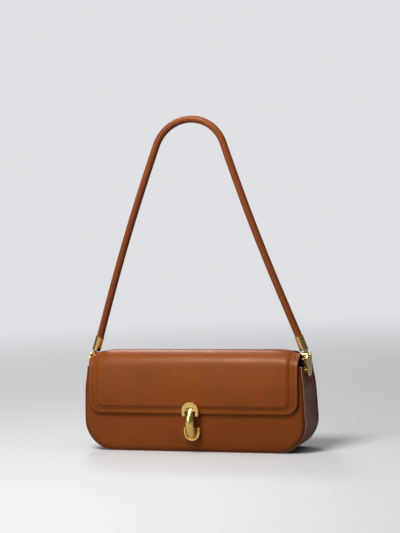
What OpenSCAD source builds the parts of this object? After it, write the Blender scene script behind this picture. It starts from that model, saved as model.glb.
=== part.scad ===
// Baguette bag in smooth leather: a boxy body with rounded lower corners, a padded flap,
// a bar clasp and a rolled handle on two pivoting end fittings.
// Millimetres. X runs along the bag, +Y to its back, +Z up, the bag stands on z = 0.

/* [Body] */
// Width of the body over its side seams
body_w = 260; // [230:1:320]
// How much narrower the body is at its mouth than over its corners
mouth_taper = 4; // [0:0.5:8]
// Height of the front panel
panel_h = 95; // [85:1:120]
// How far the two ends of the gusset stop below the panel's top
gusset_drop = 2; // [1:0.5:4]
// Radius of the body's lower corners
corner_r = 34; // [20:1:40]
// Depth of the body at its base
base_d = 51; // [44:1:80]
// Depth of the body where it is fullest
belly_d = 55.6; // [48:0.2:84]
// Height at which the body is fullest
belly_h = 40; // [30:1:50]
// Depth of the body at its mouth
mouth_d = 47; // [42:1:76]

/* [Leather and linings] */
// Thickness of the panel and gusset leather
leather_t = 1.6; // [1.2:0.1:2.2]
// Thickness of the stiffening boards
board_t = 1.2; // [0.8:0.1:1.6]
// Thickness of the lining
lining_t = 0.8; // [0.5:0.1:1]
// Thickness of the leather facing inside the mouth
facing_t = 1; // [0.6:0.1:1.4]
// Width of the leather facing inside the mouth
facing_h = 20; // [12:1:30]
// Width of the turned seam edge, measured inwards from the outline
welt_w = 4; // [3.6:0.1:6]
// Thickness of the turned seam edge
welt_t = 1.8; // [1.2:0.1:2.4]
// How far the seam edge stands out past the panels
welt_proud = 1; // [0.4:0.1:1.4]
// How far the gusset lies inside the seam edge
gusset_inset = 0.6; // [0.4:0.1:2]
// Thickness of the loose base insert
insert_t = 1.5; // [1:0.1:3]

/* [Slip pocket] */
// Width of the inner slip pocket
pocket_w = 120; // [60:1:160]
// Height of the inner slip pocket
pocket_h = 58; // [40:1:66]
// Room inside the slip pocket, front to back
pocket_room = 6; // [5.6:0.2:8]
// Height of the slip pocket above the floor
pocket_z = 16; // [10:1:20]
// Width of the pocket's sewn side and bottom edges
pocket_seam = 4; // [2:0.5:6]

/* [Flap] */
// How far the flap's side edges stop short of the body's, at each end
flap_inset = 5; // [4.5:0.5:14]
// Height of the flap's lower edge above the ground
flap_low = 43.5; // [38:0.5:56]
// Radius of the flap's lower corners
flap_r = 15; // [6:1:24]
// Height above the panel's top at which the flap's front bends into its shoulder
shoulder_rise = 2; // [1:0.1:4]
// Height of the rounded top above the line where the front bends into its shoulder
crown_rise = 15.4; // [13:0.2:18]
// Thickness of the flap leather
flap_leather_t = 1.4; // [1.2:0.1:1.8]
// Thickness of the foam that raises the middle of the flap
flap_pad_t = 1.4; // [1:0.1:2.4]
// Gap between the closed flap and the front panel
flap_gap = 0.8; // [0.5:0.1:2]
// Width of the flat stitched border round the raised middle
border_w = 5.5; // [4:0.5:8]
// Leather kept round the foam inside the stitch line
pad_margin = 1.2; // [0.8:0.1:2]
// Place of the fold, in front of the middle of the bag
fold_y = 8; // [7:0.5:12]
// Running gap at the fold
fold_gap = 0.3; // [0.2:0.1:0.6]
// Depth of the cut-out round each handle fitting, inwards from the flap's side edge
waist_in = 9.5; // [9:0.5:20]
// Depth of the cut-out round each handle fitting, behind the middle of the bag
waist_back = 19; // [14:1:20]

/* [Clasp] */
// Width of the arch on the flap
arch_w = 18.8; // [17:0.2:22]
// Height of the arch
arch_h = 15.6; // [13:0.2:18]
// How far the arch stands out from the leather
arch_t = 5; // [4.6:0.1:6]
// Thickness of the arch over its crown
arch_crown = 6; // [5:0.2:7]
// Width of the window in the arch
window_w = 12.4; // [11:0.2:13]
// How far the arch's legs hang below the flap
arch_drop = 1.7; // [0.5:0.1:3]
// Width of the cup on the front panel
cup_w = 18.2; // [17:0.2:22]
// Height of the cup
cup_h = 14.6; // [13:0.2:17]
// Distance from the flap's lower edge down to the cup's lowest point
cup_drop = 29.8; // [29:0.1:34]
// Wall of the cup
cup_wall = 1.5; // [1:0.1:2.2]
// Floor of the cup
cup_floor = 2.2; // [2:0.1:2.6]
// How far the cup stands out from the leather
cup_t = 5.2; // [4.6:0.1:6]
// Thickness of the bar in its middle
bar_mid_d = 9.6; // [7:0.2:10]
// Thickness of the bar at its ends
bar_end_d = 5.2; // [4.6:0.2:5.6]
// How far the bar bows out from the line between its ends
bar_bow = 5; // [3:0.5:8]
// Width of the bar's hinge eye
eye_w = 6; // [5:0.5:8]
// Diameter of the clasp's hinge pin
clasp_pin_d = 2; // [1.6:0.1:2.2]
// Diameter of the magnet in the cup
magnet_d = 6; // [4:0.5:7]
// Thickness of the magnet in the cup
magnet_t = 1.2; // [0.8:0.1:1.4]
// Diameter of the clasp's screws
clasp_screw_d = 2; // [1.6:0.1:2.2]
// Distance between the two screws of each clasp half
clasp_screw_gap = 9; // [8:0.5:10]

/* [Handle] */
// Gap that the sewn gusset leaves behind the fitting's outer plate
plate_gap = 0.38; // [0.3:0.02:0.6]
// Height of the handle pivots above the ends of the gusset
pivot_rise = 12.5; // [12:0.5:16]
// Height of the handle's highest point above its pivots, on its centre line
handle_rise = 263; // [180:1:340]
// Radius of the bend at the top of the handle
handle_bend = 42; // [30:1:60]
// Diameter of the rolled leather handle
handle_d = 8; // [7:0.5:10]
// Diameter of the cord inside the handle
core_d = 4.4; // [3:0.2:5]
// Length of the metal end sleeve
sleeve_l = 16; // [14:0.5:24]
// Wall of the metal end sleeve
sleeve_wall = 0.7; // [0.6:0.1:1.2]
// Distance from the pivot to the end sleeve
sleeve_start = 5.6; // [5.4:0.1:8]
// How deep the handle sits in its sleeve
sleeve_seat = 12; // [8:0.5:13]
// Height of the raised rim at the sleeve's mouth
rim_h = 1; // [0.6:0.1:2]
// How far that rim stands out from the sleeve
rim_out = 0.25; // [0.1:0.05:0.5]

/* [Handle fittings] */
// Diameter of the pivot pin
pin_d = 2.4; // [2:0.1:2.6]
// Diameter of the pivot pin's head
pin_head_d = 4.6; // [3.6:0.1:5.4]
// Thickness of the pivot pin's head
pin_head_t = 1.4; // [0.8:0.1:2]
// Diameter of the barrel on the sleeve
barrel_d = 5.4; // [4.8:0.1:5.6]
// Width of the barrel on the sleeve
barrel_w = 4.4; // [4.2:0.1:4.6]
// Thickness of the yoke's inner ear
ear_t = 1.6; // [1.2:0.1:2]
// Radius of the inner ear round the pin
ear_r = 3; // [2.6:0.1:3.2]
// Distance from the pivot down to the yoke's flat bridge
bridge_drop = 3.6; // [3.4:0.1:4.4]
// Thickness of that bridge
bridge_t = 1.5; // [1.2:0.1:2]
// Width of the bridge, front to back
bridge_d = 7; // [6:0.5:9]
// Width of the plate on the outside of the gusset
plate_w = 18; // [12:1:22]
// Height of that plate
plate_h = 26; // [20:1:30]
// Radius of the plate's upper corners
plate_corner = 6; // [3:0.5:7]
// Height of the plate above the pin's centre
plate_rise = 2.5; // [2.3:0.1:3]
// Thickness of that plate
plate_t = 1.6; // [1.2:0.1:2]
// Thickness of the backing plate inside the bag
backing_t = 1; // [0.8:0.1:1.4]
// Diameter of the rivets that hold the plate
rivet_d = 3; // [2:0.2:4]
// Distance between the two rivets of a plate
rivet_gap = 9; // [7:0.5:11]

/* [Hidden] */
// Running clearance on the radius of a pin
run_gap = 0.05;
// Clearance on the radius of a part that is fixed in its hole
seat_gap = 0.02;
// Clearance beside a turning part
side_gap = 0.1;
// Steps in a rounded corner and in a bend
arc_steps = 12;
// Steps in a panel's height
wall_steps = 12;
// Steps in each side of the rounded top
crown_steps = 16;
// Length that surely passes through the bag
through = 600;
$fn = 48;

// Main sizes that follow from the values above
mouth_w = body_w - mouth_taper;
gusset_h = panel_h - gusset_drop;
flap_w = mouth_w - 2 * flap_inset;
waist_w = flap_w - 2 * waist_in;
shoulder_z = panel_h + shoulder_rise;
cup_low = flap_low - cup_drop;
ear_x = barrel_w / 2 + side_gap;
pivot_x = half_width(gusset_h) - gusset_inset + plate_gap - ear_x;
pivot_z = gusset_h + pivot_rise;
handle_top = pivot_z + handle_rise;

// Half the body's depth at height z, a smooth curve through base, belly and mouth
function half_depth(z) =
    base_d / 2 * (z - belly_h) * (z - panel_h) / (belly_h * panel_h)
    + belly_d / 2 * z * (z - panel_h) / (belly_h * (belly_h - panel_h))
    + mouth_d / 2 * z * (z - belly_h) / (panel_h * (panel_h - belly_h));

// Lean of the wall at height z, in degrees inwards from upright
function wall_lean(z) = atan((half_depth(z - 0.5) - half_depth(z + 0.5)));

// Half the body's width at height z, above the rounded corners
function half_width(z) =
    body_w / 2 - (body_w - mouth_w) / 2 * (z - corner_r) / (panel_h - corner_r);

// Points of an arc round c from angle a0 to a1
function arc(c, r, a0, a1) =
    [for (i = [0:arc_steps]) let (a = a0 + (a1 - a0) * i / arc_steps)
        [c[0] + r * cos(a), c[1] + r * sin(a)]];

// Front outline of the body, drawn in by inset and cut off at height top
function outline(inset, top) = concat(
    [[-(half_width(top) - inset), top]],
    arc([-(body_w / 2 - corner_r), corner_r], corner_r - inset, 180, 270),
    arc([body_w / 2 - corner_r, corner_r], corner_r - inset, 270, 360),
    [[half_width(top) - inset, top]]
);

// Front outline of the flap, drawn in by inset
flap_half = flap_w / 2;
function flap_outline(inset, top = through) = concat(
    [[-(flap_half - inset), top]],
    arc([-(flap_half - flap_r), flap_low + flap_r], flap_r - inset, 180, 270),
    arc([flap_half - flap_r, flap_low + flap_r], flap_r - inset, 270, 360),
    [[flap_half - inset, top]]
);

// Section through the back wall between depths d0 and d1 under its outer face
function wall_line(d, z0, z1) =
    [for (i = [0:wall_steps]) let (z = z0 + (z1 - z0) * i / wall_steps) [half_depth(z) - d, z]];
function reversed(list) = [for (i = [len(list) - 1:-1:0]) list[i]];
function wall_section(d0, d1, z0, z1) = concat(wall_line(d0, z0, z1), reversed(wall_line(d1, z0, z1)));

// The top is part of an ellipse on either side of the fold, which is its highest line.
// Each side starts in line with the wall that it carries on from.
shoulder_lean = wall_lean(shoulder_z);
top_z = shoulder_z + crown_rise;
flap_t = flap_leather_t + flap_pad_t + lining_t;
shoulder_back_y = half_depth(shoulder_z);
shoulder_front_y = half_depth(shoulder_z) + flap_gap + flap_t;

// Upright half axis of a top whose shoulder lies reach away from the fold
function crown_b(reach) =
    let (k = tan(shoulder_lean) / reach) (1 - sqrt(1 - 4 * k * crown_rise)) / (2 * k);
// Angle on the ellipse at which it carries on from the wall
function crown_start(reach) = atan(crown_b(reach) / reach * tan(shoulder_lean));
// Points of one side of the top, d under its outer face, from the shoulder to the fold
function crown(centre, shoulder_y, d) =
    let (reach = shoulder_y - centre, b = crown_b(reach), a0 = crown_start(reach), a = reach / cos(a0))
    [for (i = [1:crown_steps]) let (t = a0 + (90 - a0) * i / crown_steps)
        [centre + (a - d) * cos(t), top_z - b + (b - d) * sin(t)]];

// Line over the back shoulder to the fold, d under the outer face
function top_line(d) = crown(-fold_y, shoulder_back_y, d);
// Line of the flap from the fold down its front, d under the outer face, y counted forwards
function flap_line(d) = concat(
    [[fold_y + fold_gap, top_z - d]],
    [for (p = reversed(crown(fold_y, shoulder_front_y, d))) if (p[0] > fold_y + fold_gap) p],
    [for (i = [1:wall_steps]) let (z = shoulder_z + (flap_low - 1 - shoulder_z) * i / wall_steps)
        [half_depth(z) + flap_gap + flap_t - d, z]]
);

// A front outline carried through the bag, front to back
module prism(points) {
    rotate([90, 0, 0]) linear_extrude(through, center = true) polygon(points);
}
// A section drawn with y backwards, carried along the bag
module along(points, width = through) {
    rotate([90, 0, 90]) linear_extrude(width, center = true) polygon(points);
}
// A piece of the back wall inside an outline
module back_wall(inset, d0, d1, top) {
    intersection() {
        prism(outline(inset, top));
        along(wall_section(d0, d1, 0, panel_h));
    }
}
// The same piece in the front wall
module front_wall(inset, d0, d1, top) {
    mirror([0, 1, 0]) back_wall(inset, d0, d1, top);
}
// The turned edge along the seam, a band that follows the outline
module welt() {
    difference() {
        back_wall(0, leather_t, leather_t + welt_t, panel_h);
        prism(outline(welt_w, panel_h + 1));
    }
}
// A strip along both sides and the base, between the two seams, whose base lies on the ground
module ring_strip(inset, thickness, depth, top) {
    half = wall_line(depth, 0, panel_h);
    difference() {
        intersection() {
            translate([0, 0, -gusset_inset]) prism(outline(inset, top + gusset_inset));
            along(concat(half, reversed([for (p = half) [-p[0], p[1]]])));
        }
        translate([0, 0, -gusset_inset]) prism(outline(inset + thickness, top + 1));
    }
}
// A layer of the flap between depths d0 and d1 under its raised face
module flap_layer(points, d0, d1) {
    intersection() {
        prism(points);
        mirror([0, 1, 0]) along(concat(flap_line(d0), reversed(flap_line(d1))));
    }
}
// A rod along Y from y0 to y1, counted from front to back
module rod_y(x, z, d, y0, y1) {
    translate([x, y0, z]) rotate([-90, 0, 0]) cylinder(h = y1 - y0, d = d);
}
// A rod along X, centred
module rod_x(d, w) {
    rotate([0, 90, 0]) cylinder(h = w, d = d, center = true);
}

// Insets and depths at which the layers lie
panel_inset = welt_proud;
ring_depth = leather_t + welt_t;
inner_inset = max(welt_w, gusset_inset + leather_t + lining_t) + 0.2;
board_depth = leather_t;
lining_depth = board_depth + board_t;
facing_depth = lining_depth + lining_t;
base_top = leather_t + lining_t;

// Places of the clasp
arch_low = flap_low - arch_drop;
arch_r = arch_w / 2;
arch_c_z = arch_low + arch_h - arch_r;
window_r = window_w / 2;
window_c_z = arch_low + arch_h - arch_crown - window_r;
arch_seat = half_depth(arch_low + arch_h) + flap_gap + lining_t + flap_leather_t;
arch_screw_z = arch_low + arch_h - arch_crown / 2 - 0.4;
clasp_pin_z = window_c_z + sqrt(window_r * window_r - eye_w * eye_w / 4) - bar_end_d / 2 - 0.2;
clasp_pin_y = arch_seat + bar_end_d / 2 + 0.2;
clasp_field = arch_w / 2 + 4;
clasp_field_top = arch_low + arch_h + 4;
cup_r = cup_w / 2;
cup_seat = half_depth(cup_low) - 0.1;
cup_screw_z = cup_low + cup_h - 3.2;
bar_tip_z = cup_low + cup_wall + bar_end_d / 2 + 0.9;
magnet_z = bar_tip_z;
bar_tip_y = cup_seat + cup_floor + bar_end_d / 2 + 0.15;
backing_plate_t = 0.6;
backing_w = clasp_screw_gap + 6;
backing_h = 5;

// Outline of the arch, and of the cup turned the other way up
module arch_shape(r, low, c_z) {
    intersection() {
        translate([0, c_z]) circle(r);
        translate([-r, c_z]) square([2 * r, r]);
    }
    translate([-r, low]) square([2 * r, c_z - low]);
}
module cup_shape(r, low, top) {
    intersection() {
        translate([0, low + r]) circle(r);
        translate([-r, low]) square([2 * r, r]);
    }
    translate([-r, low + r]) square([2 * r, top - low - r]);
}
// A front shape extruded forwards from y = -y0 by t
module forwards(y0, t) {
    translate([0, -y0, 0]) rotate([90, 0, 0]) linear_extrude(t) children();
}
module clasp_screw_pair(d, z, y0, y1) {
    for (s = [-1, 1]) rod_y(s * clasp_screw_gap / 2, z, d, -y1, -y0);
}

module front_panel() {
    color("saddlebrown") difference() {
        front_wall(panel_inset, 0, leather_t, panel_h);
        forwards(cup_seat, 10) cup_shape(cup_r, cup_low, cup_low + cup_h);
        clasp_screw_pair(clasp_screw_d + 2 * seat_gap, cup_screw_z, 0, 60);
    }
}

module back_panel() {
    color("saddlebrown") {
        back_wall(panel_inset, 0, leather_t, panel_h);
        difference() {
            along(concat(
                wall_line(0, panel_h, shoulder_z), top_line(0),
                reversed(top_line(leather_t)), reversed(wall_line(leather_t, panel_h, shoulder_z))
            ), flap_w);
            handle_cutouts();
        }
    }
}
// Room round each handle fitting, cut from the top of the bag
module handle_cutouts() {
    for (s = [-1, 1]) translate([s * (waist_w / 2 + 20), (waist_back - fold_y) / 2 - 10, top_z])
        cube([40, waist_back + fold_y + 20, 40], center = true);
}

module gusset() {
    color("saddlebrown") difference() {
        ring_strip(gusset_inset, leather_t, ring_depth, gusset_h);
        rivet_holes();
    }
}
module front_welt() {
    color("sienna") mirror([0, 1, 0]) welt();
}
module back_welt() {
    color("sienna") welt();
}

module front_board() {
    color("gray") difference() {
        front_wall(inner_inset, board_depth, board_depth + board_t, gusset_h);
        forwards(0, 60) backing_shape(cup_screw_z);
    }
}
module back_board() {
    color("gray") back_wall(inner_inset, board_depth, board_depth + board_t, panel_h);
}
module base_insert() {
    insert_w = body_w - 2 * corner_r;
    insert_d = base_d - 2 * (facing_depth + 1);
    color("dimgray") translate([-insert_w / 2, -insert_d / 2, base_top])
        cube([insert_w, insert_d, insert_t]);
}
module front_lining() {
    color("burlywood") front_wall(inner_inset, lining_depth, lining_depth + lining_t, panel_h);
}
module back_lining() {
    color("burlywood") back_wall(inner_inset, lining_depth, lining_depth + lining_t, panel_h);
}
module gusset_lining() {
    color("burlywood") difference() {
        ring_strip(gusset_inset + leather_t, lining_t, ring_depth, gusset_h);
        rivet_holes();
    }
}
module front_facing() {
    color("saddlebrown") intersection() {
        front_wall(inner_inset, facing_depth, facing_depth + facing_t, panel_h);
        translate([0, 0, panel_h]) cube([through, through, 2 * facing_h], center = true);
    }
}
// Lining of the fixed top, from the back board's upper edge to the fold
module top_lining() {
    color("burlywood") difference() {
        along(concat(
            wall_line(leather_t, panel_h, shoulder_z), top_line(leather_t),
            reversed(top_line(leather_t + lining_t)),
            reversed(wall_line(leather_t + lining_t, panel_h, shoulder_z))
        ), flap_w - 2);
        handle_cutouts();
    }
}
module slip_pocket() {
    inner_w = pocket_w - 2 * pocket_seam;
    depth = facing_depth;
    color("burlywood") difference() {
        intersection() {
            along(wall_section(depth, depth + pocket_room + lining_t, 0, panel_h));
            translate([-pocket_w / 2, 0, pocket_z]) cube([pocket_w, through, pocket_h]);
        }
        intersection() {
            along(wall_section(depth, depth + pocket_room, 0, panel_h));
            translate([-inner_w / 2, 0, pocket_z + pocket_seam]) cube([inner_w, through, through]);
        }
    }
}

// Flap: a flat border, and a middle raised by foam under the leather
module flap_leather() {
    color("saddlebrown") difference() {
        union() {
            flap_layer(flap_outline(border_w), 0, flap_leather_t + flap_pad_t);
            flap_layer(flap_outline(0), flap_pad_t, flap_leather_t + flap_pad_t);
        }
        padding_solid();
        forwards(arch_seat, 20) arch_shape(arch_r, arch_low - 5, arch_c_z);
        clasp_screw_pair(clasp_screw_d + 2 * seat_gap, arch_screw_z, 0, 60);
        arch_backing_solid();
    }
}
module padding_solid() {
    difference() {
        flap_layer(flap_outline(border_w + pad_margin), flap_leather_t, flap_leather_t + flap_pad_t);
        translate([-clasp_field, -through / 2, 0]) cube([2 * clasp_field, through, clasp_field_top]);
    }
}
module flap_padding() {
    color("lightgray") padding_solid();
}
module flap_lining() {
    color("sienna") flap_layer(flap_outline(0), flap_t - lining_t, flap_t);
}

// Clasp arch: a rounded plate with a window, in which the bar hangs on its pin
module clasp_arch() {
    color("gold") difference() {
        forwards(arch_seat, arch_t) difference() {
            arch_shape(arch_r, arch_low, arch_c_z);
            arch_shape(window_r, arch_low - 1, window_c_z);
        }
        translate([0, -clasp_pin_y, clasp_pin_z]) rod_x(clasp_pin_d + 2 * seat_gap, arch_w - 2);
        clasp_screw_pair(clasp_screw_d + 2 * seat_gap, arch_screw_z, arch_seat - 1, arch_seat + arch_t - 1.4);
    }
}
module backing_shape(z) {
    translate([-backing_w / 2, z - backing_h / 2]) square([backing_w, backing_h]);
}
module arch_backing_solid() {
    intersection() {
        flap_layer(flap_outline(0), flap_t - lining_t - backing_plate_t, flap_t - lining_t);
        forwards(0, through) backing_shape(arch_screw_z);
    }
}
module clasp_arch_backing() {
    color("silver") difference() {
        arch_backing_solid();
        clasp_screw_pair(clasp_screw_d + 2 * seat_gap, arch_screw_z, 0, 60);
    }
}
module clasp_arch_screws() {
    inner_y = half_depth(arch_screw_z) + flap_gap + lining_t + 0.1;
    color("silver") clasp_screw_pair(clasp_screw_d, arch_screw_z, inner_y, arch_seat + arch_t - 1.6);
}
module clasp_hinge_pin() {
    color("silver") translate([0, -clasp_pin_y, clasp_pin_z]) rod_x(clasp_pin_d, arch_w - 2.4);
}

// Bar of the clasp: thick in its middle, drawn in to a hinge eye above and a round tip below
// The eye and the round tip are a hair thicker than the bar's ends that run into them
end_step = 0.08;
bar_steps = 16;
bar_sides = 16;
bar_chord = norm([clasp_pin_z - bar_tip_z, clasp_pin_y - bar_tip_y]);
bar_arc_r = (bar_chord * bar_chord / 4 + bar_bow * bar_bow) / (2 * bar_bow);
bar_half_angle = asin(bar_chord / 2 / bar_arc_r);
bar_tilt = atan2(clasp_pin_y - bar_tip_y, clasp_pin_z - bar_tip_z);
// Thickness along the bar, t from 0 at the eye to 1 at the tip
function bar_r(t) = (bar_end_d + (bar_mid_d - bar_end_d) * pow(sin(180 * t), 0.75)) / 2;
function bar_ring(t) =
    let (a = bar_half_angle * (1 - 2 * t), r = bar_r(t))
    [for (k = [0:bar_sides - 1]) let (b = 360 * k / bar_sides, reach = bar_arc_r + r * cos(b))
        [r * sin(b), -(reach * cos(a) - bar_arc_r * cos(bar_half_angle)), reach * sin(a)]];
module bar_body() {
    points = [for (i = [0:bar_steps]) each bar_ring(i / bar_steps)];
    sides = [for (i = [0:bar_steps - 1], k = [0:bar_sides - 1])
        let (a = i * bar_sides + k, b = i * bar_sides + (k + 1) % bar_sides)
        [a, b, b + bar_sides, a + bar_sides]];
    first = [for (k = [bar_sides - 1:-1:0]) k];
    last = [for (k = [0:bar_sides - 1]) bar_steps * bar_sides + k];
    mid_y = (clasp_pin_y + bar_tip_y) / 2;
    mid_z = (clasp_pin_z + bar_tip_z) / 2;
    translate([0, -mid_y, mid_z]) rotate([bar_tilt, 0, 0])
        polyhedron(points, concat([first, last], sides), convexity = 4);
}
module clasp_bar() {
    color("gold") difference() {
        union() {
            bar_body();
            translate([0, -clasp_pin_y, clasp_pin_z]) rod_x(bar_end_d + end_step, eye_w);
            translate([0, -bar_tip_y, bar_tip_z]) sphere(d = bar_end_d + end_step);
        }
        translate([0, -clasp_pin_y, clasp_pin_z]) rod_x(clasp_pin_d + 2 * run_gap, 2 * eye_w);
    }
}

// Clasp cup: a shallow bowl with a thin rim, open towards the flap
module clasp_cup() {
    color("gold") difference() {
        forwards(cup_seat, cup_t) cup_shape(cup_r, cup_low, cup_low + cup_h);
        forwards(cup_seat + cup_floor, cup_t)
            cup_shape(cup_r - cup_wall, cup_low + cup_wall, cup_low + cup_h + 1);
        rod_y(0, magnet_z, magnet_d + 2 * seat_gap,
              -(cup_seat + cup_floor + 1), -(cup_seat + cup_floor - magnet_t));
        clasp_screw_pair(clasp_screw_d + 2 * seat_gap, cup_screw_z, cup_seat - 1, cup_seat + cup_floor - 0.5);
    }
}
module cup_backing_solid() {
    intersection() {
        front_wall(panel_inset, board_depth, board_depth + backing_plate_t, panel_h);
        forwards(0, 60) backing_shape(cup_screw_z);
    }
}
module clasp_cup_backing() {
    color("silver") difference() {
        cup_backing_solid();
        clasp_screw_pair(clasp_screw_d + 2 * seat_gap, cup_screw_z, 0, 60);
    }
}
module clasp_cup_screws() {
    inner_y = half_depth(cup_screw_z) - board_depth - backing_plate_t - 0.1;
    color("silver") clasp_screw_pair(clasp_screw_d, cup_screw_z, inner_y, cup_seat + cup_floor - 0.6);
}
module clasp_magnet() {
    color("dimgray") rod_y(0, magnet_z, magnet_d,
        -(cup_seat + cup_floor), -(cup_seat + cup_floor - magnet_t));
}

// Handle: two straight limbs that lean in and meet in one round bend
bend_c_z = handle_top - handle_bend;
limb_reach = norm([pivot_x, bend_c_z - pivot_z]);
limb_lean = atan2(pivot_x, bend_c_z - pivot_z) - asin(handle_bend / limb_reach);
limb_l = sqrt(limb_reach * limb_reach - handle_bend * handle_bend);
limb_start = sleeve_start + sleeve_l - sleeve_seat;
// How far a straight limb runs into the bend, so that both are one solid
joint_lap = 0.4;
bend_step = 0.04;

// Frame of the right fitting: origin on the pivot, and its limb's axis along Z when leaned
module at_pivot(side) {
    mirror([side < 0 ? 1 : 0, 0, 0]) translate([pivot_x, 0, pivot_z]) children();
}
module along_limb() {
    rotate([0, -limb_lean, 0]) children();
}
module handle_rod(d) {
    for (side = [-1, 1]) at_pivot(side) along_limb()
        translate([0, 0, limb_start]) cylinder(h = limb_l - limb_start + joint_lap, d = d);
    translate([0, 0, bend_c_z]) rotate([90, 0, 0]) rotate([0, 0, limb_lean])
        rotate_extrude(angle = 180 - 2 * limb_lean) translate([handle_bend, 0]) circle(d = d - bend_step);
}
module handle_leather() {
    color("saddlebrown") difference() {
        handle_rod(handle_d);
        handle_rod(core_d);
        for (side = [-1, 1]) at_pivot(side) along_limb() sleeve_screw(seat_gap);
    }
}
module handle_core() {
    color("wheat") handle_rod(core_d);
}
// A grub screw in the back of the sleeve that holds the handle's end
sleeve_screw_d = 2;
sleeve_r = handle_d / 2 + sleeve_wall;
module sleeve_screw(gap) {
    rod_y(0, limb_start + sleeve_seat / 2, sleeve_screw_d + 2 * gap, core_d / 2 + 0.3 - gap, sleeve_r);
}
module sleeve_screws() {
    color("silver") for (side = [-1, 1]) at_pivot(side) along_limb() sleeve_screw(0);
}
// The neck stands upright between the ears, under the leaning sleeve
neck_r = barrel_w / 2 - 0.2;
module sleeve() {
    color("gold") difference() {
        union() {
            along_limb() {
                translate([0, 0, sleeve_start]) cylinder(h = sleeve_l, r = sleeve_r);
                translate([0, 0, sleeve_start + sleeve_l - rim_h]) cylinder(h = rim_h, r = sleeve_r + rim_out);
            }
            cylinder(h = sleeve_start + 1.4, r = neck_r);
            rod_x(barrel_d, barrel_w);
        }
        along_limb() {
            translate([0, 0, limb_start]) cylinder(h = sleeve_l, d = handle_d + 2 * seat_gap);
            rod_y(0, limb_start + sleeve_seat / 2, sleeve_screw_d + 2 * seat_gap, 0, 2 * sleeve_r);
        }
        rod_x(pin_d + 2 * run_gap, 2 * barrel_w);
    }
}
module left_sleeve() {
    at_pivot(-1) sleeve();
}
module right_sleeve() {
    at_pivot(1) sleeve();
}

// Yoke: an inner ear and an outer plate with the pin between them, joined by a flat bridge
// and a triangle that stands on the gusset's top edge; the plate runs down the gusset's outside
gusset_x = half_width(gusset_h) - gusset_inset - pivot_x;
gusset_t = leather_t + lining_t;
yoke_out = ear_x + plate_t;
bridge_top = -bridge_drop;
bridge_low = bridge_top - bridge_t;
foot_z = gusset_h - pivot_z;
arm_w = 1.8;
foot_t = 2;
rivet_z = foot_z - 4;
yoke_in = -ear_x - ear_t;
foot_in = gusset_x - gusset_t;

module yoke_front_view() {
    difference() {
        polygon([
            [yoke_in, bridge_top], [yoke_in, bridge_low],
            [foot_in, foot_z], [ear_x, foot_z], [ear_x, bridge_top]
        ]);
        polygon([
            [yoke_in + arm_w, bridge_low], [ear_x, bridge_low],
            [ear_x, foot_z + foot_t], [foot_in + arm_w - 1, foot_z + foot_t]
        ]);
    }
}
module ear() {
    rod_x(2 * ear_r, ear_t);
    translate([-ear_t / 2, -ear_r, bridge_low]) cube([ear_t, 2 * ear_r, -bridge_low]);
}
// Outer plate, seen from the side: a full round below and two rounded corners above
module plate_shape() {
    r = plate_w / 2;
    corner = r - plate_corner;
    low = plate_rise - plate_h;
    intersection() {
        translate([0, low + r]) circle(r);
        translate([-r, low]) square([2 * r, r]);
    }
    translate([-r, low + r]) square([plate_w, plate_h - r - plate_corner]);
    translate([-corner, plate_rise - plate_corner]) square([2 * corner, plate_corner]);
    for (s = [-1, 1]) translate([s * corner, plate_rise - plate_corner]) intersection() {
        circle(plate_corner);
        translate([s * plate_corner / 2, plate_corner / 2]) square(plate_corner, center = true);
    }
}
module yoke() {
    color("gold") difference() {
        union() {
            rotate([90, 0, 0]) linear_extrude(bridge_d, center = true) yoke_front_view();
            translate([-ear_x - ear_t / 2, 0, 0]) ear();
            translate([ear_x, 0, 0]) rotate([90, 0, 90]) linear_extrude(plate_t) plate_shape();
        }
        rod_x(pin_d + 2 * seat_gap, 4 * yoke_out);
        for (s = [-1, 1]) translate([ear_x, s * rivet_gap / 2, rivet_z])
            rod_x(rivet_d + 2 * seat_gap, 4 * plate_t);
    }
}
module left_yoke() {
    at_pivot(-1) yoke();
}
module right_yoke() {
    at_pivot(1) yoke();
}
module pivot_pin() {
    color("gold") {
        translate([(yoke_in + yoke_out) / 2, 0, 0]) rod_x(pin_d, yoke_out - yoke_in);
        translate([yoke_out + pin_head_t / 2, 0, 0]) rod_x(pin_head_d, pin_head_t);
    }
}
module left_pivot_pin() {
    at_pivot(-1) pivot_pin();
}
module right_pivot_pin() {
    at_pivot(1) pivot_pin();
}
// Backing plate inside the bag, and the rivets through both plates
backing_x = foot_in - backing_t;
module yoke_backing() {
    color("silver") difference() {
        translate([backing_x, -plate_w / 2 + 1, rivet_z - 3.6]) cube([backing_t, plate_w - 2, 7.2]);
        for (s = [-1, 1]) translate([backing_x, s * rivet_gap / 2, rivet_z])
            rod_x(rivet_d + 2 * seat_gap, 4 * backing_t);
    }
}
module left_yoke_backing() {
    at_pivot(-1) yoke_backing();
}
module right_yoke_backing() {
    at_pivot(1) yoke_backing();
}
rivet_l = yoke_out - backing_x;
module yoke_rivets() {
    color("gold") for (side = [-1, 1], s = [-1, 1]) at_pivot(side)
        translate([backing_x + rivet_l / 2, s * rivet_gap / 2, rivet_z]) rod_x(rivet_d, rivet_l);
}
module rivet_holes() {
    for (side = [-1, 1], s = [-1, 1]) at_pivot(side)
        translate([backing_x + rivet_l / 2, s * rivet_gap / 2, rivet_z])
            rod_x(rivet_d + 2 * seat_gap, 4 * rivet_l);
}

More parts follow.
